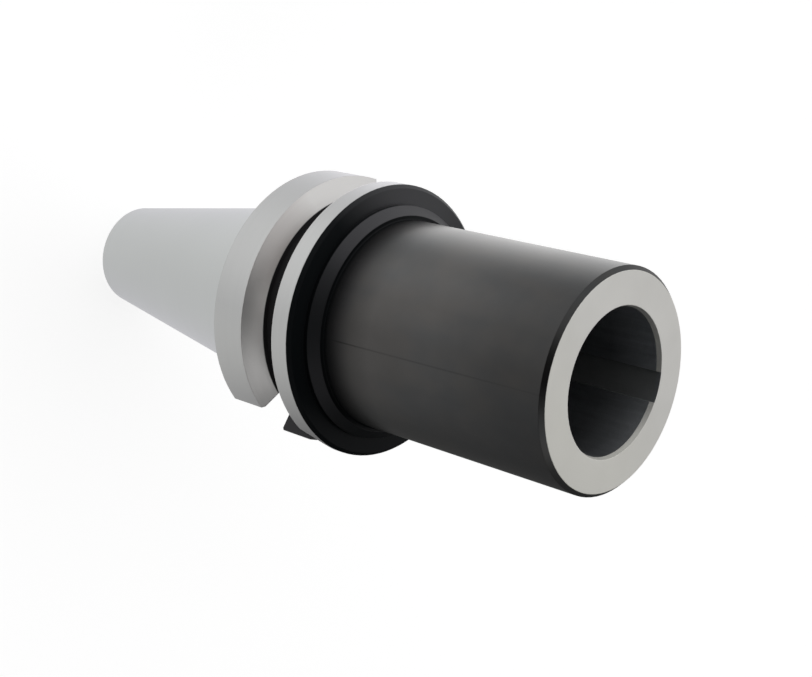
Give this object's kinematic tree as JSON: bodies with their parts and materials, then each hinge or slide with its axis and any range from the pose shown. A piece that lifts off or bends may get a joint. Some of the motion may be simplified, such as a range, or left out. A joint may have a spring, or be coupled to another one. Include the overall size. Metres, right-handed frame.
{
  "type": "morse taper adapter",
  "caption": "Tool holder with a 7/24 taper shank, a V-groove flange with drive slots, and a Morse taper socket in a long round nose.",
  "frame": {"origin": "centre of the shank's small end face, on the axis", "axes": "+Z along the axis from the shank's small end to the nose; +X through the middle of one drive slot; +Y completes a right-handed set"},
  "size_m": [0.063, 0.063, 0.1554],
  "materials": {
    "steel": "ground bright on the shank, flange rims and nose face, black oxide on the nose, flange front, groove and bores"
  },
  "bodies": {
    "root": {"holder_body": "steel"}
  },
  "joints": []
}
